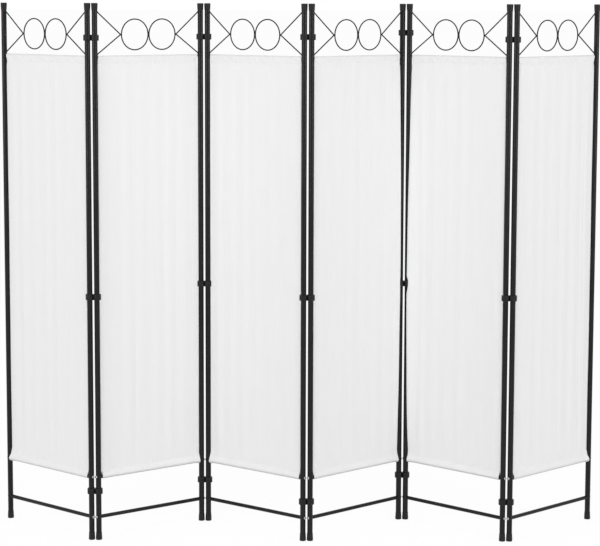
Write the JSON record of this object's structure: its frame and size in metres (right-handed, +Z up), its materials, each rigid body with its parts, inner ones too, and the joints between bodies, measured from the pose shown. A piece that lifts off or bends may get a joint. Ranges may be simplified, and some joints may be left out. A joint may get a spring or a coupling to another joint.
{
  "type": "folding screen",
  "caption": "Folding room divider: round steel tube frames with stretched white cloth and wire rings on top, joined in a zigzag by plastic hinge clips.",
  "frame": {"origin": "on the floor, at the centre of the standing screen's outline", "axes": "+X to the right along the screen as seen from its front, the front faces -Y, +Z up"},
  "size_m": [1.9347, 0.2826, 1.7],
  "materials": {
    "frame_paint": "satin black powder coat",
    "rod_paint": "satin black powder coat",
    "wire_paint": "satin black powder coat",
    "cap_plastic": "moulded black plastic",
    "clip_plastic": "moulded black plastic",
    "screw_steel": "bright zinc plate",
    "cloth": "plain-woven white polyester"
  },
  "bodies": {
    "panel_1": {"panel_1_left_post": "frame_paint", "panel_1_right_post": "frame_paint", "panel_1_crossbar": "frame_paint", "panel_1_fabric_rods": "rod_paint", "panel_1_fabric": "cloth", "panel_1_v_wires": "wire_paint", "panel_1_rings": "wire_paint", "panel_1_end_caps": "cap_plastic", "panel_1_screws": "screw_steel"},
    "panel_2": {"panel_2_left_post": "frame_paint", "panel_2_right_post": "frame_paint", "panel_2_crossbar": "frame_paint", "panel_2_fabric_rods": "rod_paint", "panel_2_fabric": "cloth", "panel_2_v_wires": "wire_paint", "panel_2_rings": "wire_paint", "panel_2_end_caps": "cap_plastic", "panel_2_screws": "screw_steel"},
    "panel_3": {"panel_3_left_post": "frame_paint", "panel_3_right_post": "frame_paint", "panel_3_crossbar": "frame_paint", "panel_3_fabric_rods": "rod_paint", "panel_3_fabric": "cloth", "panel_3_v_wires": "wire_paint", "panel_3_rings": "wire_paint", "panel_3_end_caps": "cap_plastic", "panel_3_screws": "screw_steel"},
    "panel_4": {"panel_4_left_post": "frame_paint", "panel_4_right_post": "frame_paint", "panel_4_crossbar": "frame_paint", "panel_4_fabric_rods": "rod_paint", "panel_4_fabric": "cloth", "panel_4_v_wires": "wire_paint", "panel_4_rings": "wire_paint", "panel_4_end_caps": "cap_plastic", "panel_4_screws": "screw_steel"},
    "panel_5": {"panel_5_left_post": "frame_paint", "panel_5_right_post": "frame_paint", "panel_5_crossbar": "frame_paint", "panel_5_fabric_rods": "rod_paint", "panel_5_fabric": "cloth", "panel_5_v_wires": "wire_paint", "panel_5_rings": "wire_paint", "panel_5_end_caps": "cap_plastic", "panel_5_screws": "screw_steel"},
    "panel_6": {"panel_6_left_post": "frame_paint", "panel_6_right_post": "frame_paint", "panel_6_crossbar": "frame_paint", "panel_6_fabric_rods": "rod_paint", "panel_6_fabric": "cloth", "panel_6_v_wires": "wire_paint", "panel_6_rings": "wire_paint", "panel_6_end_caps": "cap_plastic", "panel_6_screws": "screw_steel"},
    "clips_12": {"clips_12": "clip_plastic"},
    "clips_23": {"clips_23": "clip_plastic"},
    "clips_34": {"clips_34": "clip_plastic"},
    "clips_45": {"clips_45": "clip_plastic"},
    "clips_56": {"clips_56": "clip_plastic"}
  },
  "joints": [
    {"name": "fold_12", "type": "hinge", "parent": "panel_2", "child": "clips_12", "pos_m": [-0.6386, -0.11787, 0], "axis": [0, 0, -1], "range_deg": [-67.5, 51.5]},
    {"name": "fold_12_second", "type": "hinge", "parent": "clips_12", "child": "panel_1", "pos_m": [-0.66128, -0.11688, 0], "axis": [0, 0, -1], "range_deg": [-67.5, 51.5]},
    {"name": "fold_23", "type": "hinge", "parent": "panel_3", "child": "clips_23", "pos_m": [-0.29971, 0.10324, 0], "axis": [0, 0, 1], "range_deg": [-65.75, 53.25]},
    {"name": "fold_23_second", "type": "hinge", "parent": "clips_23", "child": "panel_2", "pos_m": [-0.32241, 0.10354, 0], "axis": [0, 0, 1], "range_deg": [-65.75, 53.25]},
    {"name": "fold_34", "type": "hinge", "parent": "panel_3", "child": "clips_34", "pos_m": [0.01058, -0.12636, 0], "axis": [0, 0, 1], "range_deg": [-68.25, 50.75]},
    {"name": "fold_34_second", "type": "hinge", "parent": "clips_34", "child": "panel_4", "pos_m": [0.03327, -0.12567, 0], "axis": [0, 0, 1], "range_deg": [-68.25, 50.75]},
    {"name": "fold_45", "type": "hinge", "parent": "panel_4", "child": "clips_45", "pos_m": [0.32896, 0.12244, 0], "axis": [0, 0, -1], "range_deg": [-70.25, 48.75]},
    {"name": "fold_45_second", "type": "hinge", "parent": "clips_45", "child": "panel_5", "pos_m": [0.35166, 0.12235, 0], "axis": [0, 0, -1], "range_deg": [-70.25, 48.75]},
    {"name": "fold_56", "type": "hinge", "parent": "panel_5", "child": "clips_56", "pos_m": [0.64518, -0.12834, 0], "axis": [0, 0, 1], "range_deg": [-71, 48]},
    {"name": "fold_56_second", "type": "hinge", "parent": "clips_56", "child": "panel_6", "pos_m": [0.66788, -0.12814, 0], "axis": [0, 0, 1], "range_deg": [-71, 48]}
  ],
  "couplings": [
    {"joint": "fold_12_second", "follows": "fold_12", "ratio": 1},
    {"joint": "fold_23_second", "follows": "fold_23", "ratio": 1},
    {"joint": "fold_34_second", "follows": "fold_34", "ratio": 1},
    {"joint": "fold_45_second", "follows": "fold_45", "ratio": 1},
    {"joint": "fold_56_second", "follows": "fold_56", "ratio": 1}
  ]
}
